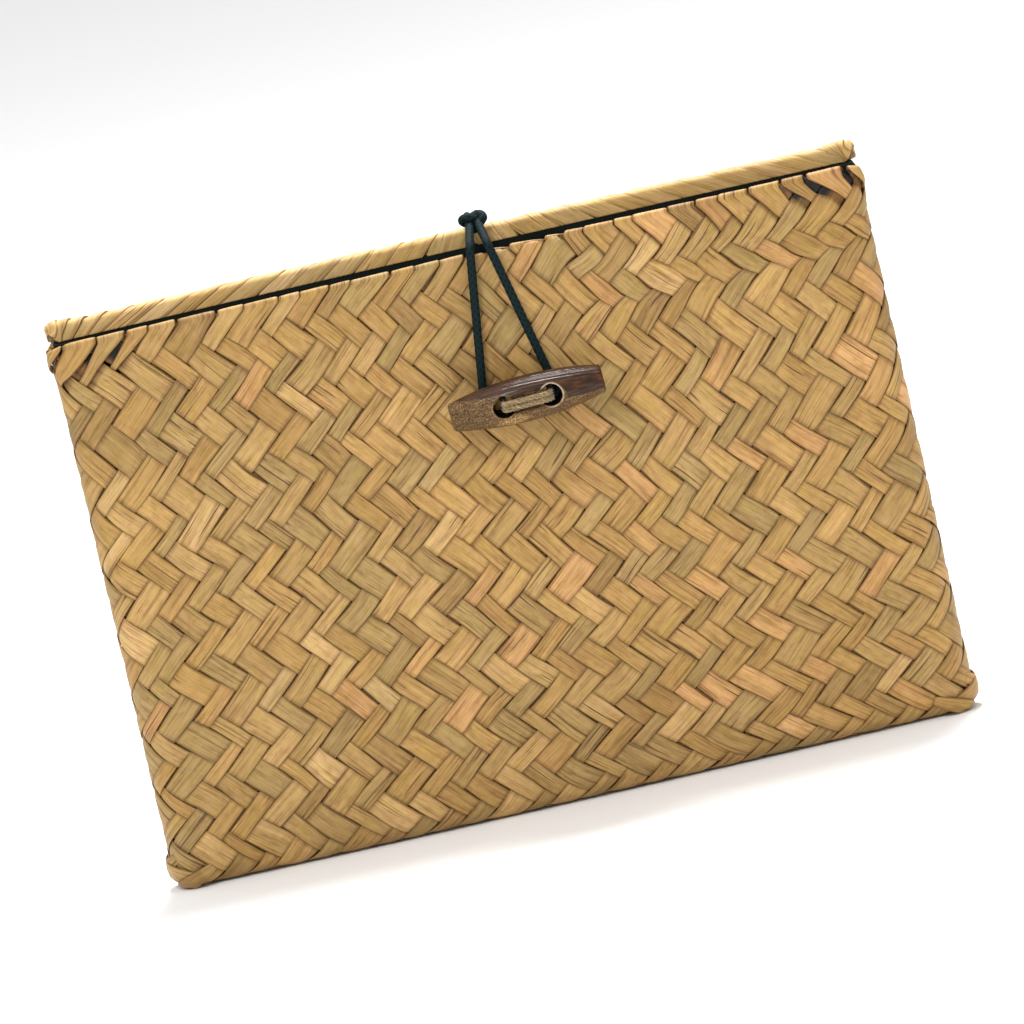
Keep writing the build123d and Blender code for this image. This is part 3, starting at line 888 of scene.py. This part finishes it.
# ---------------------------------------------------------------- the toggle and its twine
def lathe(profile, turns):
    """A closed solid turned about the X axis from (x, radius) points."""
    angles = np.linspace(0, 2 * math.pi, turns, endpoint=False)
    verts, faces = [], []
    for x, radius in profile:
        for angle in angles:
            verts.append((x, radius * math.cos(angle), radius * math.sin(angle)))
    for i in range(len(profile) - 1):
        for j in range(turns):
            k = (j + 1) % turns
            faces.append((i * turns + j, i * turns + k, (i + 1) * turns + k, (i + 1) * turns + j))
    faces.append(tuple(range(turns))[::-1])
    faces.append(tuple(range((len(profile) - 1) * turns, len(profile) * turns)))
    mesh = bpy.data.meshes.new("turned")
    mesh.from_pydata(verts, [], faces)
    obj = bpy.data.objects.new("turned", mesh)
    bpy.context.scene.collection.objects.link(obj)
    return obj


def toggle_tilt():
    return Matrix.Rotation(math.radians(-2.0), 4, "Y")


TOGGLE_RADIUS = 7.2 * MM
TOGGLE_END_RADIUS = 4.3 * MM
HOLE_RADIUS = 3.5 * MM
HOLE_SPACING = twine_high.x - twine_low.x - 1.8 * MM
TWINE_RADIUS = 0.9 * MM


def along_y(mesh, x):
    mesh.transform(Matrix.Translation((x, 0, 0)) @ Matrix.Rotation(math.pi / 2, 4, "Z"))


def toggle_wear(co):
    """Where the varnish is worn off, where the wood looks gilt, and the light rims of the holes."""
    x, y, z = co[:, 0] / MM, co[:, 1] / MM, co[:, 2] / MM
    bare = 1 - smooth((z + 0.1 * x - 1.0) / 3.2)
    bare *= 1 - 0.85 * smooth((x - 10.5) / 3) * smooth((z + 3.4) / 1.6)
    under_left = np.exp(-((x + 6) / 5.5) ** 2 - ((z + 5.0) / 1.7) ** 2)
    between = np.exp(-(x / 5.0) ** 4 - ((z - 0.4) / 2.6) ** 4)
    gold = np.maximum(under_left, 0.8 * between)
    ring = np.zeros(len(x))
    for centre, strength in ((-HOLE_SPACING / 2 / MM, 0.15), (HOLE_SPACING / 2 / MM, 0.9)):
        distance = np.hypot(x - centre, z)
        rim = np.exp(-((distance - 3.72) / 0.22) ** 2) * smooth((-y - 2.0) / 2.0)
        ring = np.maximum(ring, strength * rim)
    return np.stack([bare, gold, ring], axis=1)


def build_toggle(material):
    """The barrel, cut by its two holes and the groove, then remeshed so that every edge is worn soft."""
    centre = Vector(((toggle_low.x + toggle_high.x) / 2, 0, (toggle_low.z + toggle_high.z) / 2))
    radius, end_radius, half = TOGGLE_RADIUS, TOGGLE_END_RADIUS, 24.6 * MM
    centre.y = toggle_high.y - radius
    bend = (half * half + (radius - end_radius) ** 2) / (2 * (radius - end_radius))
    profile = [(-half, 0.6 * end_radius), (-half, end_radius - 0.5 * MM)]
    for i in range(49):
        x = -half + 0.5 * MM + (2 * half - 1.0 * MM) * i / 48
        profile.append((x, radius - (bend - math.sqrt(bend * bend - x * x))))
    profile += [(half, end_radius - 0.5 * MM), (half, 0.6 * end_radius)]
    barrel = lathe(profile, 64)
    cutters = []
    for x in (-HOLE_SPACING / 2, HOLE_SPACING / 2):
        hole = lathe([(-0.02, HOLE_RADIUS), (0.02, HOLE_RADIUS)], 40)
        along_y(hole.data, x)
        cutters.append(hole)
    groove = lathe([(-HOLE_SPACING / 2, 3.1 * MM), (HOLE_SPACING / 2, 3.1 * MM)], 40)
    groove.data.transform(Matrix.Translation((0, -7.4 * MM, 0)))
    cutters.append(groove)
    for cutter in cutters:
        cut = barrel.modifiers.new("cut", "BOOLEAN")
        cut.operation = "DIFFERENCE"
        cut.solver = "EXACT"
        cut.object = cutter
    remesh = barrel.modifiers.new("remesh", "REMESH")
    remesh.mode = "VOXEL"
    remesh.voxel_size = 0.28 * MM
    soften = barrel.modifiers.new("soften", "SMOOTH")
    soften.factor = 0.5
    soften.iterations = 5
    bpy.context.view_layer.update()
    made = bpy.data.meshes.new_from_object(barrel.evaluated_get(bpy.context.evaluated_depsgraph_get()))
    for cutter in cutters:
        bpy.data.objects.remove(cutter)
    bpy.data.objects.remove(barrel)
    co = np.zeros(len(made.vertices) * 3)
    made.vertices.foreach_get("co", co)
    co = co.reshape(-1, 3)
    for key, values in (("local", co), ("wear", toggle_wear(co))):
        layer = made.attributes.new(key, "FLOAT_VECTOR", "POINT")
        layer.data.foreach_set("vector", np.asarray(values, np.float32).ravel())
    # painted shade: marks the holes' inner walls, which the wood material paints near black for the shade in the
    # holes
    from_hole = np.hypot(np.abs(co[:, 0]) - HOLE_SPACING / 2, co[:, 2])
    depth = np.sqrt(TOGGLE_RADIUS**2 - np.minimum(co[:, 2] ** 2, TOGGLE_RADIUS**2)) + co[:, 1]
    inside = smooth((3.62 * MM - from_hole) / (0.15 * MM)) * smooth((depth - 0.4 * MM) / (1.2 * MM))
    layer = made.attributes.new("inside", "FLOAT", "POINT")
    layer.data.foreach_set("value", np.asarray(inside, np.float32))
    carve = np.sin(co[:, 2] / MM * 2.6 + 1.7 * np.sin(co[:, 0] / MM * 0.13) + 5 * co[:, 1] / MM)
    co = co + unit(co * np.array([0.0, 1.0, 1.0])) * 0.05 * MM * carve[:, None]
    made.vertices.foreach_set("co", co.ravel())
    made.transform(Matrix.Translation(centre) @ toggle_tilt())
    made.polygons.foreach_set("use_smooth", [True] * len(made.polygons))
    made.materials.clear()
    made.materials.append(material)
    obj = bpy.data.objects.new("wooden_toggle", made)
    bpy.context.scene.collection.objects.link(obj)
    return obj


def twine_path(offset):
    """One turn of the twine's ring: a bridge in the groove, two legs and a bridge behind the wall."""
    middle_x, middle_z = (twine_low.x + twine_high.x) / 2, (twine_low.z + twine_high.z) / 2
    half = HOLE_SPACING / 2
    front, back = twine_low.y + TWINE_RADIUS, twine_high.y - TWINE_RADIUS
    corners = [(0, front), (half, front), (half, back), (-half, back), (-half, front), (-1e-5, front)]
    placed = []
    for x, y in corners:
        turned = toggle_tilt() @ Vector((x, 0, offset))
        placed.append((middle_x + turned.x, y, middle_z + turned.z))
    return rounded_path(placed, 1.5 * MM, 0.2 * MM)


def twisted_twine(name, paths, radius, material):
    """Three plies laid round each other, with stray fibres standing off."""
    bundle = Bundle()
    own = random.Random(name)
    angles = np.linspace(0, 2 * math.pi, 14, endpoint=False)
    for path in paths:
        _, sides, ups = frames_along(path)
        gaps = np.linalg.norm(np.diff(path, axis=0), axis=1)
        distance = np.concatenate([[0.0], np.cumsum(gaps)])
        turns = round(distance[-1] / (4.0 * MM))
        for ply in range(3):
            phase = 2 * math.pi * (ply / 3 + turns * distance / distance[-1])
            core = path + 0.5 * radius * (np.cos(phase)[:, None] * sides + np.sin(phase)[:, None] * ups)
            rings = tube_rings(core, 0.55 * radius, angles)
            fibre = np.zeros(rings.shape)
            fibre[..., 0] = distance[:, None] + ply
            fibre[..., 1] = angles[None, :] * radius + distance[:, None] * 0.3
            bundle.add(rings, {"fibre": fibre})
        for _ in range(int(distance[-1] / (0.35 * MM))):
            bundle_fibre(bundle, path, sides, ups, radius, own)
    return bundle.piece(name, material)


def bundle_fibre(bundle, path, sides, ups, radius, own):
    """One stray fibre that leaves the twine and bends away."""
    at = own.randrange(2, len(path) - 14)
    angle = own.uniform(0, 2 * math.pi)
    t = np.linspace(0, 1, 6)
    index = at + (t * own.uniform(5, 11)).astype(int)
    lift = radius * (0.85 + own.uniform(0.2, 0.75) * t * t)
    swing = angle + t * own.uniform(-1.0, 1.0)
    line = path[index] + lift[:, None] * (np.cos(swing)[:, None] * sides[index] + np.sin(swing)[:, None] * ups[index])
    line = line + np.linspace(0, 1e-4, 6)[:, None]
    rings = tube_rings(line, 0.055 * MM, np.linspace(0, 2 * math.pi, 4, endpoint=False))
    fibre = np.zeros(rings.shape)
    fibre[..., 0] = angle + t[:, None] * MM
    bundle.add(rings, {"fibre": fibre})


# ---------------------------------------------------------------- the lining and its stitches
def lining_inset(z):
    loose = smooth((RIM_Z - z) / (14.0 * MM))
    return WALL + (0.8 + 1.8 * loose) * MM


def lining_sheet(name, u_values, z_values, material, creases=0.25 * MM):
    """A sheet of cloth with a front and a back, softly creased."""
    u, z = np.meshgrid(u_values, z_values, indexing="ij")
    soft = creases * smooth((RIM_Z - z) / (30 * MM)) * smooth(z / (15 * MM))
    ripple = np.sin(u * 190 + 3 * np.sin(z * 60)) + 0.6 * np.sin(u * 83 + z * 140)
    inner = -lining_inset(z) - 0.35 * MM - soft * (1.0 + 0.5 * ripple)
    point, normal = shell(u, z), outward(u, z)
    layers = [point + normal * (inner + side)[..., None] for side in (0.18 * MM, -0.18 * MM)]
    rows, columns = u.shape
    index = np.arange(rows * columns).reshape(rows, columns)
    faces = []
    offset = rows * columns
    quads = np.stack([index[:-1, :-1], index[1:, :-1], index[1:, 1:], index[:-1, 1:]], axis=-1).reshape(-1, 4)
    faces += quads.tolist()
    faces += (quads[:, ::-1] + offset).tolist()
    border = index[:, 0].tolist() + index[-1, 1:].tolist() + index[-2::-1, -1].tolist() + index[0, -2:0:-1].tolist()
    for first, second in zip(border, border[1:] + border[:1]):
        faces.append((second, first, first + offset, second + offset))
    verts = np.concatenate([layer.reshape(-1, 3) for layer in layers])
    return make_piece(name, verts, faces, material)


def share_at(x, z):
    """Girth share of a place on the front, from its x."""
    flat, rounding, _ = level(np.array(z))
    return x / (4 * flat + 2 * math.pi * rounding)


def stitches(name, centres_u, z, material):
    """Running stitches: short arched threads that dip into the cloth at both ends."""
    bundle = Bundle()
    angles = np.linspace(0, 2 * math.pi, 8, endpoint=False)
    for u in centres_u:
        t = np.linspace(-1, 1, 9)
        run = u + t * 2.0 * MM / (4 * HALF_WIDTH)
        inset = lining_inset(np.array(z)) + 0.72 * MM
        lift = -inset - 0.18 * MM * (1 - t * t)
        path = skin(run, np.full(9, z), lift)
        rings = tube_rings(path, 0.22 * MM, angles)
        fibre = np.zeros(rings.shape)
        fibre[..., 0] = t[:, None] * 2 * MM
        bundle.add(rings, {"fibre": fibre})
    return bundle.piece(name, material)


# ---------------------------------------------------------------- the back rim band
def band_section(share):
    """A point on the band's rounded section and its outward direction; share runs from the inner
    bottom edge up, over the top and down the outer face. Values are (out, up, normal out, normal up)."""
    thick = 3.5 * MM
    height = band_high.z - band_low.z - 0.2 * MM
    corner = 1.6 * MM
    half = thick / 2
    side_run, turn_run = height - corner, corner * math.pi / 2
    top_run = thick - 2 * corner
    total = 2 * side_run + 2 * turn_run + top_run
    d = share * total
    out = np.where(d < side_run, -half, 0.0)
    up = np.minimum(d, side_run)
    n_out, n_up = np.where(d < side_run, -1.0, 0.0), np.zeros_like(d)
    first = (d >= side_run) & (d < side_run + turn_run)
    angle = (d - side_run) / corner
    out = np.where(first, -half + corner - corner * np.cos(angle), out)
    up = np.where(first, side_run + corner * np.sin(angle), up)
    n_out = np.where(first, -np.cos(angle), n_out)
    n_up = np.where(first, np.sin(angle), n_up)
    flat = (d >= side_run + turn_run) & (d < side_run + turn_run + top_run)
    out = np.where(flat, -half + corner + d - side_run - turn_run, out)
    up = np.where(flat, height, up)
    n_up = np.where(flat, 1.0, n_up)
    second = (d >= side_run + turn_run + top_run) & (d < total - side_run)
    angle = (d - side_run - turn_run - top_run) / corner
    out = np.where(second, half - corner + corner * np.sin(angle), out)
    up = np.where(second, side_run + corner * np.cos(angle), up)
    n_out = np.where(second, np.sin(angle), n_out)
    n_up = np.where(second, np.cos(angle), n_up)
    last = d >= total - side_run
    out = np.where(last, half, out)
    up = np.where(last, total - d, up)
    n_out = np.where(last, 1.0, n_out)
    return out, up, n_out, n_up, total


BAND_END = 0.2560  # girth share where the band's right end lies, just behind the side's middle
BAND_DROP = 0.9 * MM  # the band laps this far over the back wall's edge
BAND_LENGTH = (1 - 2 * BAND_END) * GIRTH


def band_point(along, share, lift):
    """along runs from 0 at the left end, round the back, to 1 at the right end."""
    u = -BAND_END - (1 - 2 * BAND_END) * along
    ground = np.full_like(u, RIM_Z)
    point, normal = shell(u, ground), outward(u, ground)
    normal[..., 2] = 0.0
    normal = unit(normal)
    out, up, n_out, n_up, _ = band_section(share)
    to_end = np.minimum(along, 1 - along) * BAND_LENGTH
    squeeze = np.sqrt(np.clip(1 - (1 - np.clip(to_end / (3.0 * MM), 0, 1)) ** 2, 0.0004, 1))
    swell = 0.35 * MM * np.exp(-((to_end - 3.5 * MM) / (3.0 * MM)) ** 2)
    bumps = 0.22 * MM * np.sin(to_end / MM * 0.83 + 2 * np.sin(to_end / MM * 0.31)) * smooth(to_end / (5 * MM))
    lift = lift + swell + bumps * np.abs(n_up)
    middle_up = (band_high.z - band_low.z) / 2
    up = up * (0.84 + 0.09 * smooth((14 * MM - to_end) / (12 * MM)))
    out = (out + n_out * lift) * squeeze
    up = middle_up + (up - middle_up + n_up * lift) * squeeze
    base = normal * (out - 1.4 * MM)[..., None]
    return point + base + np.array([0, 0, 1.0]) * (up + band_low.z - RIM_Z - BAND_DROP)[..., None]


BAND_ACROSS = np.array([-0.56, -0.5, -0.25, 0.0, 0.25, 0.5, 0.56])
BAND_EDGE = np.array([-0.26, 0.0, 0.02, 0.04, 0.02, 0.0, -0.26]) * MM


def build_band(material):
    """Strips wrapped slantwise over the band, each lapping over the next, closer towards the ends."""
    bundle = Bundle()
    *_, total = band_section(np.array([0.0]))
    share = np.linspace(0.0, 1.0, 36)[:, None]
    centre, number = -6.0 * MM, 0
    while centre < BAND_LENGTH + 6.0 * MM:
        own = random.Random(f"band {number}")
        to_end = min(centre, BAND_LENGTH - centre)
        near = float(smooth((26 * MM - to_end) / (20 * MM)))
        wide, tight = 9.5 + own.uniform(-1.8, 2.6), 4.6 + own.uniform(-0.6, 0.6)
        spacing = (wide * (1 - near) + tight * near) * MM
        lean = math.cos(math.pi * min(max(centre / BAND_LENGTH, 0), 1))
        lean = math.copysign(abs(lean) ** 0.5, lean)
        slope = lean * (1.7 * (1 - near) + 0.7 * near) + own.uniform(-0.08, 0.08)
        drift = slope * (share - 0.35) * total
        where = (centre + spacing / 2 + drift + BAND_ACROSS[None, :] * spacing) / BAND_LENGTH
        where = np.clip(where, 0.0, 1.0)
        lap = (BAND_ACROSS[None, :] + 0.5) * 0.22 * MM * (1 + 1.6 * near)
        across_share = np.broadcast_to(share, where.shape)
        top = band_point(where, across_share, lap + BAND_EDGE[None, :] + 0.05 * MM)
        under = band_point(where[:, [5, 1]], across_share[:, :2], np.full((len(share), 2), -0.35 * MM))
        rings = np.concatenate([top, under], axis=1)
        columns = np.concatenate([BAND_ACROSS, [0.5, -0.5]])[None, :]
        fibre = np.zeros(rings.shape)
        fibre[..., 0] = share * total * 1.6 + own.random() * 3
        fibre[..., 1] = columns * spacing
        fibre[..., 2] = own.random() * 2.1
        tone = np.zeros(rings.shape)
        tone[...] = (0.5 + 0.45 * own.random(), 0.30 + 0.5 * own.random(), own.uniform(0.2, 0.75))
        # painted shade: the wraps' long edges are painted darker, more so near the ends where the wraps lie closer
        edge = smooth((np.abs(columns) - 0.46) / 0.1) * (0.45 + 0.55 * near) * np.ones_like(share)
        bundle.add(rings, {"fibre": fibre, "tone": tone, "crease_shade": edge})
        centre += spacing
        number += 1
    # the core that the strips are wrapped round, painted dark all over as painted shade where it shows between the
    # wraps
    along, across_share = np.meshgrid(np.linspace(0.0, 1.0, 241), np.linspace(0.0, 1.0, 25), indexing="ij")
    rings = band_point(along, across_share, np.full(along.shape, -0.2 * MM))
    zeros = np.zeros(rings.shape)
    bundle.add(rings, {"fibre": zeros, "tone": zeros, "crease_shade": np.ones(along.shape)})
    return bundle.piece("back_band", material)


# ---------------------------------------------------------------- build
straw = straw_material("plaited_straw", (0.80, 0.78, 0.70), 1.0)
# painted light: the band's straw is a lighter, cooler copy of the wall's straw, standing in for the brighter light on
# the rim
rim_straw = straw_material("rim_straw", (1.12, 1.16, 1.22), 0.8)
cotton = cotton_material()
elastic = elastic_material()
twine = twine_material()
wood = wood_material()

bundles = {}
weave(bundles)
fold_row(bundles)
tucked_ends(bundles)
ROOT_NODES = ["woven_back_panel", "woven_bottom"]
FRONT_NODES = ["woven_front_panel", "front_rim_fold"]
PARTS = {
    "front_left": ("front_weave_left", FRONT_NODES),
    "front_right": ("front_weave_right", FRONT_NODES),
    "root_left": ("back_weave_left", ROOT_NODES + ["woven_left_side", "left_corner_tuck"]),
    "root_right": ("back_weave_right", ROOT_NODES + ["woven_right_side", "right_corner_tuck"]),
}


def join_front(piece):
    """Bakes a front piece's placement into its mesh."""
    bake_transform(piece)


for zone, (name, nodes) in PARTS.items():
    piece = bundles[zone].piece(name, straw)
    if zone.startswith("front"):
        join_front(piece)
    else:
        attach(piece, "root")
    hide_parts(*nodes)

band = build_band(rim_straw)
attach(band, "root")
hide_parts("back_rim_band")

loop = braided_cord("cord_loop", loop_paths(), CORD_RADIUS, elastic)
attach(loop, "loop")
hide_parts("elastic_loop")
knot = braided_cord("cord_knot", [knot_path(knot_low, knot_high, CORD_RADIUS)], CORD_RADIUS, elastic)
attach(knot, "loop")
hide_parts("loop_knot")
tails = braided_cord("cord_tails", tail_paths(), CORD_RADIUS, elastic)
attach(tails, "root")
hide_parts("loop_anchor")

toggle = build_toggle(wood)
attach(toggle, "toggle")
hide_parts("toggle")
ring = twisted_twine("toggle_lashing", [twine_path(-0.85 * MM), twine_path(0.85 * MM)], TWINE_RADIUS, twine)
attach(ring, "front")
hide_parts("toggle_twine")

lashing_knot = knot_path(*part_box("twine_knot"), TWINE_RADIUS * 0.8)
piece = twisted_twine("lashing_knot", [lashing_knot], TWINE_RADIUS * 0.8, twine)
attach(piece, "front")
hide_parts("twine_knot")

front_top = RIM_Z - 3.0 * MM
front_bottom = TUCK_Z + 0.5 * MM
edge_u = float(share_at(level(np.array(TUCK_Z))[0], TUCK_Z)) * 0.998
heights = np.linspace(front_bottom, front_top, 60)
for hand, span in (("left", (-edge_u, 0.0)), ("right", (0.0, edge_u))):
    sheet = lining_sheet(f"front_lining_{hand}", np.linspace(*span, 60), heights, cotton)
    join_front(sheet)
    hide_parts("front_lining")
back_sheet = lining_sheet(
    "back_lining_sheet", np.linspace(edge_u, 1 - edge_u, 160), np.linspace(TUCK_Z, RIM_Z - 0.3 * MM, 60), cotton
)
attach(back_sheet, "root")
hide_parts("back_lining")

for hand, span in (("front", (-0.25, 0.25)), ("back", (0.25, 0.75))):
    low_z = BASE_Z + 0.2 * MM
    sheet = lining_sheet(f"bottom_lining_{hand}", np.linspace(*span, 120), np.linspace(low_z, TUCK_Z, 24), cotton)
    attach(sheet, "root")
    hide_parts("bottom_lining")

hem_pitch = 9.0 * MM / (4 * HALF_WIDTH)
for hand, sign in (("left", -1), ("right", 1)):
    row = [sign * (i + 0.5) * hem_pitch for i in range(13)]
    piece = stitches(f"front_hem_{hand}", row, RIM_Z - 6.0 * MM, elastic)
    join_front(piece)
    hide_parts("front_hem_stitches")
row = [0.5 + i * hem_pitch for i in range(-13, 14)]
piece = stitches("back_hem", row, RIM_Z - 4.0 * MM, elastic)
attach(piece, "root")
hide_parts("back_hem_stitches")


# ---------------------------------------------------------------- floor, light and camera
def studio():
    scene = bpy.context.scene
    bpy.ops.mesh.primitive_plane_add(size=8.0, location=(0, 0, -0.05 * MM))
    floor = bpy.context.object
    floor.name = "floor"
    material, tree, shader = node_material("pale_floor")
    shader.inputs["Base Color"].default_value = (0.9, 0.9, 0.9, 1.0)
    shader.inputs["Roughness"].default_value = 0.8
    floor.data.materials.append(material)
    world = bpy.data.worlds.new("studio")
    scene.world = world
    world.use_nodes = True
    world.node_tree.nodes["Background"].inputs[0].default_value = (1.0, 1.0, 1.0, 1.0)
    world.node_tree.nodes["Background"].inputs[1].default_value = 0.8
    middle = Vector((0, 0, RIM_Z / 2))

    def lamp(name, place_at, size, power):
        data = bpy.data.lights.new(name, "AREA")
        data.shape = "DISK"
        data.size = size
        data.energy = power
        obj = bpy.data.objects.new(name, data)
        obj.location = place_at
        obj.rotation_euler = (middle - Vector(place_at)).to_track_quat("-Z", "Y").to_euler()
        scene.collection.objects.link(obj)

    lamp("key", (-0.35, -1.1, 1.15), 0.5, 11.0)
    lamp("top", (0.1, 0.35, 1.2), 0.45, 22.0)
    scene.view_settings.view_transform = "Standard"


def camera():
    """Far off and a little above, rolled so that the clutch's right side is up."""
    elevation, roll, distance = math.radians(11.0), math.radians(12.93), 4.0
    seen_width = 0.321
    data = bpy.data.cameras.new("camera")
    data.sensor_width = 36.0
    data.lens = 18.0 * 2 * distance / seen_width
    obj = bpy.data.objects.new("camera", data)
    target = Vector((0.0, -0.005, 0.0947))
    back = Vector((0, -math.cos(elevation), math.sin(elevation)))
    obj.location = target + back * distance
    aim = (-back).to_track_quat("-Z", "Y").to_matrix().to_4x4()
    obj.matrix_world = Matrix.Translation(obj.location) @ aim @ Matrix.Rotation(-roll, 4, "Z")
    data.clip_end = 50.0
    bpy.context.scene.collection.objects.link(obj)
    bpy.context.scene.camera = obj


studio()
camera()
